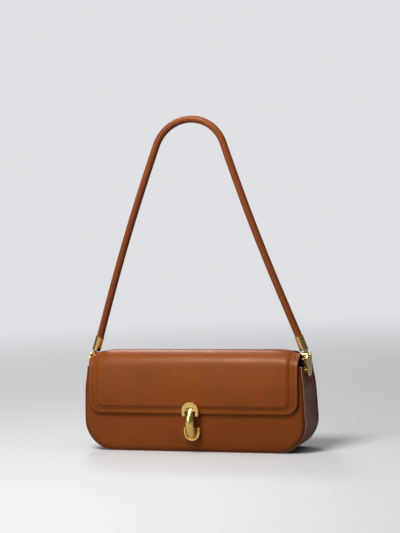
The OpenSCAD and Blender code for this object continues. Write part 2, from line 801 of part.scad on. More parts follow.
front_panel();
back_panel();
gusset();
front_welt();
back_welt();
front_board();
back_board();
base_insert();
front_lining();
back_lining();
gusset_lining();
front_facing();
top_lining();
slip_pocket();
flap_leather();
flap_padding();
flap_lining();
clasp_arch();
clasp_arch_backing();
clasp_arch_screws();
clasp_hinge_pin();
clasp_bar();
clasp_cup();
clasp_cup_backing();
clasp_cup_screws();
clasp_magnet();
handle_leather();
handle_core();
left_sleeve();
right_sleeve();
sleeve_screws();
left_yoke();
right_yoke();
left_pivot_pin();
right_pivot_pin();
left_yoke_backing();
right_yoke_backing();
yoke_rivets();
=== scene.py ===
import bpy, bmesh, math
from mathutils import Matrix, Vector, noise


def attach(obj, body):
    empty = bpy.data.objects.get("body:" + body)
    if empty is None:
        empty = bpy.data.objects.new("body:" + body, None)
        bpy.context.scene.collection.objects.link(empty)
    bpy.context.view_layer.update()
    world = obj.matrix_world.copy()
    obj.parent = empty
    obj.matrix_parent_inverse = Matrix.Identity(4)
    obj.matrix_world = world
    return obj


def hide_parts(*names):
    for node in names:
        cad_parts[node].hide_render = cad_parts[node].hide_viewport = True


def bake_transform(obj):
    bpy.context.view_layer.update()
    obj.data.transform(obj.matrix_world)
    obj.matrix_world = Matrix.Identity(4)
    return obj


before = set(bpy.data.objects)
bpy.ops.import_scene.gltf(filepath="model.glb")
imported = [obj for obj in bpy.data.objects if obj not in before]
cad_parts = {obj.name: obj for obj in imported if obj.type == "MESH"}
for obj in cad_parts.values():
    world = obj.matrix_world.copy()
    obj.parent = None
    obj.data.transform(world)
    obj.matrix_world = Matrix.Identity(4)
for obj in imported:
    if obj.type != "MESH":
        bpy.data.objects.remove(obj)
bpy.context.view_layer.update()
mm = 0.001

# Camera: stands a little to the right of the bag's front and looks slightly down on it.
# The distance and the small roll were fitted to the seams, the fittings and the handle.
camera = bpy.data.objects.new("camera", bpy.data.cameras.new("camera"))
bpy.context.scene.collection.objects.link(camera)
azimuth, elevation, roll = math.radians(19.83), math.radians(4.02), math.radians(-2.41)
focal_px, photo_h_px, sensor_w = 1700, 533, 36
distance, aim_height, aim_shift = 1.896, 0.2044, 0.0061
away = Vector((math.sin(azimuth) * math.cos(elevation), -math.cos(azimuth) * math.cos(elevation),
               math.sin(elevation)))
right = Vector((math.cos(azimuth), math.sin(azimuth), 0))
above = away.cross(right)
camera.data.lens = focal_px / photo_h_px * sensor_w
camera.data.sensor_width = sensor_w
camera.location = right * aim_shift + Vector((0, 0, aim_height)) + away * distance
turn = Matrix((right, above, away)).transposed().to_4x4()
camera.rotation_euler = (turn @ Matrix.Rotation(roll, 4, "Z")).to_euler()
camera.data.clip_start, camera.data.clip_end = 0.1, 30
bpy.context.scene.camera = camera

# Light: a small strong lamp high in front draws the bright band along the shoulder. A wide weak
# panel overhead, a large one at the front left, a small one behind and a dim room fill in.
def soft_lamp(name, place, aim, size, power, colour):
    lamp = bpy.data.lights.new(name, "AREA")
    lamp.shape, lamp.size, lamp.size_y = "RECTANGLE", size[0], size[1]
    lamp.energy, lamp.color = power, colour
    holder = bpy.data.objects.new(name, lamp)
    bpy.context.scene.collection.objects.link(holder)
    holder.location = place
    holder.rotation_euler = (Vector(aim) - Vector(place)).to_track_quat("-Z", "Y").to_euler()
soft_lamp("shoulder_lamp", (-0.17, -0.58, 1.0), (0.05, 0, 0.10), (0.42, 0.42), 13.5, (1, 0.97, 0.93))
soft_lamp("top_panel", (0.10, 0.10, 1.1), (0.05, 0, 0.10), (1.3, 0.75), 3, (1, 0.98, 0.95))
soft_lamp("front_panel_lamp", (-0.75, -1.5, 0.75), (0, 0, 0.08), (0.9, 0.9), 9, (1, 0.96, 0.92))
soft_lamp("back_lamp", (-0.55, 0.95, 0.95), (0, 0, 0.05), (0.4, 0.3), 5, (1, 1, 1))
pale = (0.74, 0.75, 0.77)
room_colour, room_level = (0.80, 0.83, 0.88), 0.12
room = bpy.data.worlds.new("room")
bpy.context.scene.world = room
room.use_nodes = True
room_nodes, room_links = room.node_tree.nodes, room.node_tree.links
room_nodes["Background"].inputs["Color"].default_value = (*room_colour, 1)
room_nodes["Background"].inputs["Strength"].default_value = room_level
seen = room_nodes.new("ShaderNodeBackground")
seen.inputs["Color"].default_value = (*pale, 1)
rays = room_nodes.new("ShaderNodeLightPath")
choice = room_nodes.new("ShaderNodeMixShader")
room_links.new(rays.outputs["Is Camera Ray"], choice.inputs[0])
room_links.new(room_nodes["Background"].outputs[0], choice.inputs[1])
room_links.new(seen.outputs[0], choice.inputs[2])
room_links.new(choice.outputs[0], room_nodes["World Output"].inputs[0])
bpy.context.scene.view_settings.view_transform = "Standard"

# Floor: a plain pale sheet. Far from the bag it takes on the even tone of the background, so that
# no horizon shows; near the bag it is matt and takes the shadow. It throws little light back at
# the bag, whose lower half and ends are dark in the photograph.
sheet_half, fade_start, fade_end = 5, 0.30, 1.5
paper_to_bag, paper_to_eye, paper_in_gloss = (0.24, 0.24, 0.25), (0.56, 0.57, 0.59), 0.34
sheet = bmesh.new()
bmesh.ops.create_grid(sheet, x_segments=2, y_segments=2, size=sheet_half)
floor_mesh = bpy.data.meshes.new("floor")
sheet.to_mesh(floor_mesh)
floor = bpy.data.objects.new("floor", floor_mesh)
bpy.context.scene.collection.objects.link(floor)
paper = bpy.data.materials.new("pale_paper")
paper.use_nodes = True
paper_nodes, paper_links = paper.node_tree.nodes, paper.node_tree.links
paper_nodes["Principled BSDF"].inputs["Roughness"].default_value = 0.75
glow = paper_nodes.new("ShaderNodeEmission")
glow.inputs["Color"].default_value, glow.inputs["Strength"].default_value = (*pale, 1), 1
place_on_sheet = paper_nodes.new("ShaderNodeTexCoord")
from_bag = paper_nodes.new("ShaderNodeVectorMath")
from_bag.operation = "LENGTH"
paper_links.new(place_on_sheet.outputs["Object"], from_bag.inputs[0])
fade = paper_nodes.new("ShaderNodeMapRange")
fade.interpolation_type = "SMOOTHSTEP"
fade.inputs["From Min"].default_value, fade.inputs["From Max"].default_value = fade_start, fade_end
paper_links.new(from_bag.outputs["Value"], fade.inputs["Value"])
sight = paper_nodes.new("ShaderNodeLightPath")
tint = paper_nodes.new("ShaderNodeMix")
tint.data_type = "RGBA"
tint.inputs["A"].default_value, tint.inputs["B"].default_value = (*paper_to_bag, 1), (*paper_to_eye, 1)
mirrored = paper_nodes.new("ShaderNodeMath")
mirrored.operation, mirrored.use_clamp = "MULTIPLY_ADD", True
mirrored.inputs[1].default_value = paper_in_gloss
paper_links.new(sight.outputs["Is Glossy Ray"], mirrored.inputs[0])
paper_links.new(sight.outputs["Is Camera Ray"], mirrored.inputs[2])
paper_links.new(mirrored.outputs[0], tint.inputs["Factor"])
paper_links.new(tint.outputs["Result"], paper_nodes["Principled BSDF"].inputs["Base Color"])
seen_fade = paper_nodes.new("ShaderNodeMath")
seen_fade.operation = "MULTIPLY"
paper_links.new(fade.outputs["Result"], seen_fade.inputs[0])
paper_links.new(sight.outputs["Is Camera Ray"], seen_fade.inputs[1])
sheet_mix = paper_nodes.new("ShaderNodeMixShader")
paper_links.new(seen_fade.outputs[0], sheet_mix.inputs[0])
paper_links.new(paper_nodes["Principled BSDF"].outputs[0], sheet_mix.inputs[1])
paper_links.new(glow.outputs[0], sheet_mix.inputs[2])
paper_links.new(sheet_mix.outputs[0], paper_nodes["Material Output"].inputs["Surface"])
floor_mesh.materials.append(paper)

# Front panel: one cut of smooth cognac calf leather, 1.6 mm thick, glued over the front board.
# Its edge rolls over the board and is turned into the seam with the gusset.
body_w, panel_h, corner_r, leather_t, mouth_taper = 260, 95, 34, 1.6, 2
base_half, belly_half, mouth_half, belly_h = 25.5, 27.8, 23.5, 40
tuck_in, tuck_from, tuck_over = 1.6, 70, 22
welt_proud, welt_t, gusset_inset, gusset_h = 1.0, 1.8, 0.6, 93
def half_depth(z):
    """Half the body's depth at a height: a parabola through the base, the belly and the mouth."""
    return (base_half * (z - belly_h) * (z - panel_h) / (belly_h * panel_h)
            + belly_half * z * (z - panel_h) / (belly_h * (belly_h - panel_h))
            + mouth_half * z * (z - belly_h) / (panel_h * (panel_h - belly_h)))
def tuck(z):
    """How far the seams lean in near the top, under the flap."""
    return tuck_in * ease((z - tuck_from) / tuck_over)
def half_width(z):
    if z >= corner_r:
        return body_w / 2 - mouth_taper * (z - corner_r) / (panel_h - corner_r) - tuck(z)
    return body_w / 2 - corner_r + math.sqrt(max(0, corner_r ** 2 - (corner_r - z) ** 2))
def ease(t):
    t = min(1, max(0, t))
    return t * t * (3 - 2 * t)
def edge_distance(x, z, half, low, radius):
    """How far a point of a front outline lies inside its side edges and its round lower corners."""
    dx, dz = half - abs(x), z - low
    if dx < radius and dz < radius:
        return radius - math.hypot(radius - dx, radius - dz)
    return min(dx, dz)
def unevenness(x, y, z):
    """The slight waviness of leather on a board, in mm."""
    p = Vector((x, y, z))
    return 0.16 * (1 + noise.noise(p / 46)) + 0.07 * (1 + noise.noise(p / 17))
def laid_grid(across, along, place, wrap=False):
    """A sheet of quads whose vertices go to place(u, v), u and v from 0 to 1."""
    bm = bmesh.new()
    bmesh.ops.create_grid(bm, x_segments=across, y_segments=along, size=0.5)
    for v in bm.verts:
        v.co = Vector(place(v.co.x + 0.5, v.co.y + 0.5)) * mm
    if wrap:
        bmesh.ops.remove_doubles(bm, verts=bm.verts, dist=1e-6)
    return bm
def facing(bm, outwards):
    """Turns all the faces over if, taken together, they look away from outwards(centre)."""
    bm.normal_update()
    total = sum(f.normal.dot(outwards(f.calc_center_median())) * f.calc_area() for f in bm.faces)
    if total < 0:
        bmesh.ops.reverse_faces(bm, faces=bm.faces)
def finished(name, bm, material, body="root", stands_for=(), thickness=0, shades=None):
    """Makes the object: smooth shading, its wall thickness laid inwards, its material and body; hides the
    CAD parts it stands for.
    """
    bm.normal_update()
    mesh = bpy.data.meshes.new(name)
    bm.to_mesh(mesh)
    bm.free()
    piece = bpy.data.objects.new(name, mesh)
    bpy.context.scene.collection.objects.link(piece)
    for face in mesh.polygons:
        face.use_smooth = True
    if shades is not None:
        layer = mesh.attributes.new("rim", "FLOAT", "POINT")
        layer.data.foreach_set("value", [shades(v.co / mm) for v in mesh.vertices])
    if thickness:
        wall = piece.modifiers.new("wall", "SOLIDIFY")
        wall.thickness, wall.offset = thickness * mm, -1
        wall.use_even_offset, wall.use_quality_normals = True, True
    mesh.materials.append(material)
    if body:
        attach(piece, body)
    if stands_for:
        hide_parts(*stands_for)
    return piece
def leather(name, colour, deep, rough=0.40, grain=1500, grain_depth=0.10):
    """Smooth dyed calf: cloudy colour, darker where the rim attribute is high, fine grain, thin wax."""
    skin = bpy.data.materials.new(name)
    skin.use_nodes = True
    nodes, links = skin.node_tree.nodes, skin.node_tree.links
    shader = nodes["Principled BSDF"]
    coords = nodes.new("ShaderNodeTexCoord")
    def cloud(scale, detail, low, high):
        n = nodes.new("ShaderNodeTexNoise")
        n.inputs["Scale"].default_value, n.inputs["Detail"].default_value = scale, detail
        links.new(coords.outputs["Object"], n.inputs["Vector"])
        m = nodes.new("ShaderNodeMapRange")
        m.inputs["From Min"].default_value, m.inputs["From Max"].default_value = 0.3, 0.7
        m.inputs["To Min"].default_value, m.inputs["To Max"].default_value = low, high
        links.new(n.outputs["Fac"], m.inputs["Value"])
        return m.outputs["Result"]
    rim = nodes.new("ShaderNodeAttribute")
    rim.attribute_name = "rim"
    total = nodes.new("ShaderNodeMath")
    total.operation = "ADD"
    links.new(cloud(16, 3, 0.0, 0.30), total.inputs[0])
    links.new(cloud(420, 2, 0.0, 0.12), total.inputs[1])
    # Share of the deep colour: cloudy patches plus the darkening towards the edges that the rim attribute
    # carries.
    deep_share = nodes.new("ShaderNodeMath")
    deep_share.operation, deep_share.use_clamp = "MULTIPLY_ADD", True
    deep_share.inputs[1].default_value = 0.75
    links.new(rim.outputs["Fac"], deep_share.inputs[0])
    links.new(total.outputs[0], deep_share.inputs[2])
    tone = nodes.new("ShaderNodeMix")
    tone.data_type = "RGBA"
    tone.inputs["A"].default_value, tone.inputs["B"].default_value = (*colour, 1), (*deep, 1)
    links.new(deep_share.outputs[0], tone.inputs["Factor"])
    links.new(tone.outputs["Result"], shader.inputs["Base Color"])
    links.new(cloud(60, 4, rough - 0.05, rough + 0.08), shader.inputs["Roughness"])
    cells = nodes.new("ShaderNodeTexVoronoi")
    cells.feature = "DISTANCE_TO_EDGE"
    cells.inputs["Scale"].default_value = grain
    links.new(coords.outputs["Object"], cells.inputs["Vector"])
    pores = nodes.new("ShaderNodeBump")
    pores.inputs["Strength"].default_value, pores.inputs["Distance"].default_value = grain_depth, 0.0002
    links.new(cells.outputs["Distance"], pores.inputs["Height"])
    creases = nodes.new("ShaderNodeBump")
    creases.inputs["Strength"].default_value, creases.inputs["Distance"].default_value = 0.12, 0.0006
    links.new(cloud(240, 5, 0, 1), creases.inputs["Height"])
    links.new(pores.outputs["Normal"], creases.inputs["Normal"])
    links.new(creases.outputs["Normal"], shader.inputs["Normal"])
    # Painted reflection colour: the shine is tinted warm orange, as if it mirrored a red wall and warm lamps
    # that the scene does not hold.
    shader.inputs["Specular Tint"].default_value = (1, 0.70, 0.46, 1)
    shader.inputs["Coat Weight"].default_value = 0.03
    shader.inputs["Coat Roughness"].default_value = 0.25
    shader.inputs["Specular IOR Level"].default_value = 0.28
    return skin
cognac = leather("cognac_calf", (0.228, 0.052, 0.0065), (0.084, 0.015, 0.002))
def wall_point(u, v, inset, depth, top, side, roll=0, wavy=True):
    """A point of the front (side -1) or back (side 1) wall, v up from the base, u across."""
    corner_rows = 0.42
    if v < corner_rows:
        z = (corner_r - inset) * (1 - math.cos(math.radians(90) * v / corner_rows)) + inset
        half = body_w / 2 - corner_r + (corner_r - inset) * math.sin(math.radians(90) * v / corner_rows)
    else:
        z = corner_r + (top - corner_r) * (v - corner_rows) / (1 - corner_rows)
        half = half_width(z) - inset
    x = (2 * u - 1) * half
    inside = edge_distance(x, z, half_width(max(z, corner_r)), 0, corner_r) - inset
    wave = unevenness(x, side * 25, z) * ease(inside / 8) if wavy else 0
    lift = -roll * (1 - min(1, inside / 5)) ** 2 + wave
    return x, side * (half_depth(z) - depth + lift), z
def panel_rim(p):
    """Darkening of the leather towards a panel's edge."""
    inside = edge_distance(p.x, p.z, half_width(max(p.z, corner_r)), 0, corner_r)
    return 0.9 * math.exp(-max(0, inside - 1) / 2.2)
bm = laid_grid(120, 60, lambda u, v: wall_point(u, v, welt_proud, 0, panel_h, -1, roll=1.3))
facing(bm, lambda c: Vector((0, -1, 0)))
finished("front_panel_leather", bm, cognac, stands_for=["front_panel"], thickness=leather_t,
         shades=panel_rim)

# Gusset: one long strip of the same leather, down one end, under the base and up the other.
# It is sewn to both panels, and its ends dip in a little where no board backs them.
lining_t = 0.8
def ring_path(step):
    """Stations of the outline from the left end's top round the base to the right end's top.

    Each is a side from -1 at the left to 1 at the right, an angle round the corner and a height."""
    heights = [panel_h - step * i for i in range(int((panel_h - corner_r) / step) + 1)]
    left_end = [(-1, 0, z) for z in heights if z > corner_r + 1]
    left_bend = [(-1, a, corner_r) for a in range(0, 91, 6)]
    base = [(s, 90, corner_r) for s in [-1 + 2 * i / 48 for i in range(1, 48)]]
    right_bend = [(1, a, corner_r) for a in range(90, -1, -6)]
    right_end = [(1, 0, z) for side, angle, z in reversed(left_end)]
    return left_end + left_bend + base + right_bend + right_end
ring = ring_path(2.0)
def ring_point(station, inset):
    """x and z of a station on the outline drawn in by inset."""
    side, angle, height = station
    if height > corner_r:
        return side * (half_width(height) - inset), height
    a = math.radians(angle)
    centre = side * (body_w / 2 - corner_r)
    if angle == 90:
        return centre, inset
    bend_x = math.copysign((corner_r - inset) * math.cos(a), side)
    return (math.copysign(body_w / 2 - corner_r, side) + bend_x,
            corner_r - (corner_r - inset) * math.sin(a))
def dip(z):
    """How far the ends sink in between the seams: nothing at the base and under the fittings."""
    return 1.3 * ease((z - 14) / 22) * (1 - ease((z - 52) / 22))
def strip_point(u, v, inset, seam_depth, top):
    """A point of a strip that runs round the outline, u from the front seam to the back one."""
    x, z = ring_point(ring[round(v * (len(ring) - 1))], inset)
    if z <= corner_r:
        z -= gusset_inset
    z = min(z, top)
    across = 2 * u - 1
    reach = half_depth(max(0, z)) - seam_depth
    sink = dip(z) * (1 - abs(across) ** 3) * (1 if abs(x) > 100 else 0)
    x -= math.copysign(sink - tuck(z) * (1 - abs(across) ** 3), x)
    wave = 0.15 * noise.noise(Vector((x, across * 20, z)) / 30) if abs(x) > 110 and z < 74 else 0
    return x - math.copysign(wave, x), across * reach, z
seam_depth = leather_t + welt_t
bm = laid_grid(28, len(ring) - 1, lambda u, v: strip_point(u, v, gusset_inset, seam_depth, gusset_h))
facing(bm, lambda c: Vector((c.x, 0, c.z - 0.05)))
def strip_rim(p):
    """Darkening of the gusset towards its two seams."""
    return 0.9 * math.exp(-max(0, half_depth(max(0, min(p.z, panel_h))) - 3.4 - abs(p.y)) / 2.0)
finished("gusset_leather", bm, cognac, stands_for=["gusset"], thickness=leather_t,
         shades=strip_rim)

# Seam edges: along each panel the leather of panel and gusset is turned and sewn edge to edge.
# The cut edges stand 1 mm proud as a narrow rounded ridge, filed and painted a lighter brown.
def edge_paint(name, colour):
    """Filed and painted leather edge: flat colour with a faint streak along it, soft shine."""
    paint = bpy.data.materials.new(name)
    paint.use_nodes = True
    nodes, links = paint.node_tree.nodes, paint.node_tree.links
    coords = nodes.new("ShaderNodeTexCoord")
    streaks = nodes.new("ShaderNodeTexNoise")
    streaks.inputs["Scale"].default_value, streaks.inputs["Detail"].default_value = 130, 4
    links.new(coords.outputs["Object"], streaks.inputs["Vector"])
    ramp = nodes.new("ShaderNodeValToRGB")
    ramp.color_ramp.elements[0].position, ramp.color_ramp.elements[1].position = 0.35, 0.65
    ramp.color_ramp.elements[0].color = (*[c * 0.75 for c in colour], 1)
    ramp.color_ramp.elements[1].color = (*colour, 1)
    links.new(streaks.outputs["Fac"], ramp.inputs["Fac"])
    links.new(ramp.outputs["Color"], nodes["Principled BSDF"].inputs["Base Color"])
    rub = nodes.new("ShaderNodeBump")
    rub.inputs["Strength"].default_value, rub.inputs["Distance"].default_value = 0.15, 0.0003
    links.new(streaks.outputs["Fac"], rub.inputs["Height"])
    links.new(rub.outputs["Normal"], nodes["Principled BSDF"].inputs["Normal"])
    nodes["Principled BSDF"].inputs["Roughness"].default_value = 0.45
    return paint
painted_edge = edge_paint("painted_edge", (0.38, 0.155, 0.09))
welt_w = 4
def welt_point(u, v, side):
    """Round the ridge's section: an upright rounded bar from the outline inwards."""
    a = 2 * math.pi * u
    along, across = math.cos(a), math.sin(a)
    squareness = 0.55
    along = math.copysign(abs(along) ** squareness, along)
    across = math.copysign(abs(across) ** squareness, across)
    inset = welt_w / 2 - along * welt_w / 2
    depth = leather_t + welt_t / 2 + across * welt_t / 2
    x, z = ring_point(ring[round(v * (len(ring) - 1))], inset)
    return x, side * (half_depth(z) - depth), z
for name, node, side in (("front_seam_edge", "front_welt", -1), ("back_seam_edge", "back_welt", 1)):
    bm = laid_grid(16, len(ring) - 1, lambda u, v: welt_point(u, v, side), wrap=True)
    bmesh.ops.holes_fill(bm, edges=[e for e in bm.edges if e.is_boundary])
    bmesh.ops.recalc_face_normals(bm, faces=bm.faces)
    finished(name, bm, painted_edge, stands_for=[node])

# Back, top and flap: the largest cut, one hide that runs up the back, over the top between the
# handle fittings and down the front as the flap. It bends at the fold line just ahead of the fittings.
fold_y, shoulder_z, crown_rise, lean = 8, 97, 15.4, math.radians(9.227)
top_z = shoulder_z + crown_rise
flap_half, flap_low, flap_r, waist_half, waist_back = 123, 43.5, 15, 113.5, 19
flap_leather_t, pad_t, flap_gap, stitch_in = 1.4, 1.4, 0.8, 5.0
droop_max, droop_from, droop_over = 3.4, 88, 36
flap_t = flap_leather_t + pad_t + lining_t
def crown(reach):
    """One side of the rounded top, part of an ellipse, from the fold to the shoulder reach mm away."""
    k = math.tan(lean) / reach
    b = (1 - math.sqrt(1 - 4 * k * crown_rise)) / (2 * k)
    start = math.atan(b / reach * math.tan(lean))
    a = reach / math.cos(start)
    rows, length, last = [], 0, None
    for i in range(61):
        t = math.pi / 2 + (start - math.pi / 2) * i / 60
        point = (a * math.cos(t), top_z - b + b * math.sin(t))
        length += math.dist(point, last) if last else 0
        last = point
        size = math.hypot(math.cos(t) / a, math.sin(t) / b)
        rows.append((length, *point, math.cos(t) / a / size, math.sin(t) / b / size))
    return rows
back_crown = crown(half_depth(shoulder_z) + fold_y)
front_crown = crown(half_depth(shoulder_z) + flap_gap + flap_t - fold_y)
back_bend, front_bend = back_crown[-1][0], front_crown[-1][0]
flap_l = front_bend + shoulder_z - flap_low
def spine(t):
    """y, z and outward normal of the hide t mm forwards of the fold, over the top and down the walls."""
    side, run, rows = (1, -t, back_crown) if t < 0 else (-1, t, front_crown)
    if run < rows[-1][0]:
        i = max(1, next(i for i, row in enumerate(rows) if row[0] >= run))
        low, high = rows[i - 1], rows[i]
        share = (run - low[0]) / (high[0] - low[0])
        out, z, n_out, n_up = [l + (h - l) * share for l, h in zip(low[1:], high[1:])]
        return -fold_y + side * out, z, side * n_out, n_up
    z = shoulder_z - (run - rows[-1][0])
    slope = math.atan(half_depth(z - 0.5) - half_depth(z + 0.5))
    stand_off = 0 if side > 0 else flap_gap + flap_t
    return side * (half_depth(z) + stand_off), z, side * math.cos(slope), math.sin(slope)
def droop(x, t):
    """The free ends of the top and the flap hang a little lower than its middle."""
    end = ease((abs(x) - droop_from) / droop_over) ** 1.6
    share = ease((t + 30) / 26) * (1 - ease((t - front_bend) / 26))
    return droop_max * end * share
def hide_point(x, t, depth, raised=True):
    """A point depth mm under the hide's face, with its padded field, its border and the clasp's seat."""
    y, z, ny, nz = spine(t)
    lift = -depth
    clasp_far = x * x + (z - 50) ** 2
    if t > 0:
        inside = edge_distance(x, flap_l - t, flap_half, 0, flap_r)
        padded = edge_distance(x, flap_l - t, flap_half - 2.5, 0, flap_r)
        if raised:
            lift -= pad_t * (1 - ease((padded - 5.8) / 4)) * ease(t / 6)
            lift += 0.55 * ease((inside - 6) / 24) * ease((t - 12) / 16) * (1 - math.exp(-clasp_far / 500))
            edge_roll = 0.4 * (1 - min(1, max(0, inside) / 0.9)) ** 2
            lift -= edge_roll + 0.2 * math.exp(-((inside - stitch_in) / 0.6) ** 2)
            from_arch = (math.hypot(x, z - 48) if z > 48 else abs(x)) - 9.4
            face = half_depth(z) + flap_gap + flap_t
            if z < 62 and from_arch < 2:
                lift = min(lift, -depth - (face - 30.35) * (1 - ease(from_arch / 2)))
    if raised:
        calm = x * x + ((z - 50) ** 2 if t > 0 else 900)
        lift += unevenness(x, y, z) * 0.9 * min(1, calm / 900)
    return x, y + ny * lift, z + nz * lift - droop(x, t)
def hide_half(t):
    """Half the hide's width: full on the back and the flap, narrow between the handle fittings."""
    z = spine(t)[1]
    if t > 0:
        low = flap_l - t
        rounding = flap_r - math.sqrt(max(0, flap_r ** 2 - (flap_r - low) ** 2)) if low < flap_r else 0
        return waist_half + (flap_half - waist_half) * ease(t / 3.5) - rounding
    if z >= panel_h:
        notch = -next(row[0] for row in back_crown if row[1] > waist_back + fold_y)
        full = flap_half + (half_width(panel_h) - welt_proud - flap_half) * (1 - ease((z - panel_h) / 3))
        return waist_half + (full - waist_half) * ease((notch - t) / 3.5)
    if z > corner_r:
        return half_width(z) - welt_proud
    bend_r = corner_r - welt_proud
    return body_w / 2 - corner_r + bend_r * math.sqrt(max(0, 1 - ((corner_r - z) / bend_r) ** 2))
# Rows of the hide, closer together round the corners and at the fold
back_l = back_bend + shoulder_z - welt_proud
stations = [-back_l + (corner_r - welt_proud) * (1 - math.cos(math.radians(90) * i / 18)) for i in range(18)]
first, last = stations[-1] + 2.2, -3.0
stations += [first + (last - first) * i / 54 for i in range(55)]
stations += [-2 + i for i in range(10)]
first, last = 9.5, flap_l - flap_r - 1
stations += [first + (last - first) * i / 42 for i in range(43)]
stations += [flap_l - flap_r * (1 - math.sin(math.radians(90) * i / 30)) for i in range(31)]
def hide_place(u, v):
    """A point of the hide's face; its columns lie closer together towards the edges."""
    t = stations[round(v * (len(stations) - 1))]
    across = (2 * u - 1) * (1.35 - 0.35 * (2 * u - 1) ** 2)
    return hide_point(across * hide_half(t), t, 0)
def hide_rim(p):
    """Darkening of the hide towards its free edges and its seams."""
    if p.y < -8:
        return 0.55 * math.exp(-max(0, edge_distance(p.x, p.z, flap_half, flap_low, flap_r)) / 0.9)
    if p.z < panel_h:
        return panel_rim(p)
    return 0.5 * math.exp(-max(0, (waist_half if p.y < 19 else flap_half) - abs(p.x)) / 0.9)
bm = laid_grid(150, len(stations) - 1, hide_place)
facing(bm, lambda c: Vector((0, c.y, c.z - 0.06)))
hide = finished("back_and_flap_leather", bm, cognac, body=None, stands_for=["back_panel", "flap_leather"],
                thickness=flap_leather_t, shades=hide_rim)
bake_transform(hide)

# Boards and base insert: pressed fibre board, glued between leather and lining so the walls stay
# straight; the insert lies loose on the lining and is the same board under a thin cover.
def pressed_board(name, colour):
    """Fibre board: flecked grey brown, matt."""
    board = bpy.data.materials.new(name)
    board.use_nodes = True
    nodes, links = board.node_tree.nodes, board.node_tree.links
    coords = nodes.new("ShaderNodeTexCoord")
    flecks = nodes.new("ShaderNodeTexNoise")
    flecks.inputs["Scale"].default_value, flecks.inputs["Detail"].default_value = 700, 5
    links.new(coords.outputs["Object"], flecks.inputs["Vector"])
    ramp = nodes.new("ShaderNodeValToRGB")
    ramp.color_ramp.elements[0].color = (*[c * 0.6 for c in colour], 1)
    ramp.color_ramp.elements[1].color = (*colour, 1)
    links.new(flecks.outputs["Fac"], ramp.inputs["Fac"])
    links.new(ramp.outputs["Color"], nodes["Principled BSDF"].inputs["Base Color"])
    nodes["Principled BSDF"].inputs["Roughness"].default_value = 0.85
    return board
fibre_board = pressed_board("fibre_board", (0.16, 0.13, 0.10))
def surfaced(node, material):
    """Gives a CAD node that stays in view its material."""
    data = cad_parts[node].data
    data.materials.clear()
    data.materials.append(material)
for node in ("front_board", "back_board", "base_insert"):
    surfaced(node, fibre_board)

# Linings of the body: brown microfibre glued to boards and gusset, turned in under the mouth.
# A leather facing covers the front lining's upper edge, and a slip pocket is sewn on at the back.
def microfibre(name, colour):
    """Short-napped lining cloth: a fine plain weave under a soft nap."""
    cloth = bpy.data.materials.new(name)
    cloth.use_nodes = True
    nodes, links = cloth.node_tree.nodes, cloth.node_tree.links
    shader = nodes["Principled BSDF"]
    coords = nodes.new("ShaderNodeTexCoord")
    nap = nodes.new("ShaderNodeTexNoise")
    nap.inputs["Scale"].default_value, nap.inputs["Detail"].default_value = 900, 3
    links.new(coords.outputs["Object"], nap.inputs["Vector"])
    patches = nodes.new("ShaderNodeTexNoise")
    patches.inputs["Scale"].default_value = 30
    links.new(coords.outputs["Object"], patches.inputs["Vector"])
    both = nodes.new("ShaderNodeMath")
    both.operation = "MULTIPLY"
    links.new(nap.outputs["Fac"], both.inputs[0])
    links.new(patches.outputs["Fac"], both.inputs[1])
    ramp = nodes.new("ShaderNodeValToRGB")
    ramp.color_ramp.elements[0].position, ramp.color_ramp.elements[1].position = 0.1, 0.45
    ramp.color_ramp.elements[0].color = (*[c * 0.65 for c in colour], 1)
    ramp.color_ramp.elements[1].color = (*colour, 1)
    links.new(both.outputs[0], ramp.inputs["Fac"])
    links.new(ramp.outputs["Color"], shader.inputs["Base Color"])
    threads = nodes.new("ShaderNodeTexWave")
    threads.inputs["Scale"].default_value, threads.inputs["Distortion"].default_value = 700, 1.5
    links.new(coords.outputs["Object"], threads.inputs["Vector"])
    relief = nodes.new("ShaderNodeBump")
    relief.inputs["Strength"].default_value, relief.inputs["Distance"].default_value = 0.3, 0.0002
    links.new(threads.outputs["Fac"], relief.inputs["Height"])
    links.new(relief.outputs["Normal"], shader.inputs["Normal"])
    shader.inputs["Roughness"].default_value = 0.9
    shader.inputs["Sheen Weight"].default_value = 0.35
    shader.inputs["Sheen Roughness"].default_value = 0.5
    return cloth
lining_cloth = microfibre("brown_microfibre", (0.060, 0.036, 0.022))
inner_inset, lining_depth, facing_depth, facing_h = 4.2, 2.8, 3.6, 20
for name, node, side in (("front_wall_lining", "front_lining", -1), ("back_wall_lining", "back_lining", 1)):
    bm = laid_grid(60, 40, lambda u, v: wall_point(u, v, inner_inset, lining_depth, panel_h, side,
                                                   wavy=False))
    facing(bm, lambda c: Vector((0, side, 0)))
    finished(name, bm, lining_cloth, stands_for=[node], thickness=lining_t)
lining_inset = gusset_inset + leather_t + 0.02
bm = laid_grid(20, len(ring) - 1, lambda u, v: strip_point(u, v, lining_inset, seam_depth, gusset_h))
facing(bm, lambda c: Vector((c.x, 0, c.z - 0.05)))
finished("gusset_inner_lining", bm, lining_cloth, stands_for=["gusset_lining"], thickness=lining_t)
def facing_point(u, v):
    z = panel_h - facing_h + facing_h * v
    return (2 * u - 1) * (half_width(z) - inner_inset), -(half_depth(z) - facing_depth), z
bm = laid_grid(60, 12, facing_point)
facing(bm, lambda c: Vector((0, -1, 0)))
turned = finished("front_facing_leather", bm, cognac, stands_for=["front_facing"], thickness=1.0)
soften = turned.modifiers.new("round_edges", "BEVEL")
soften.width, soften.segments = 0.0003, 2
soften.limit_method, soften.angle_limit = "ANGLE", math.radians(60)

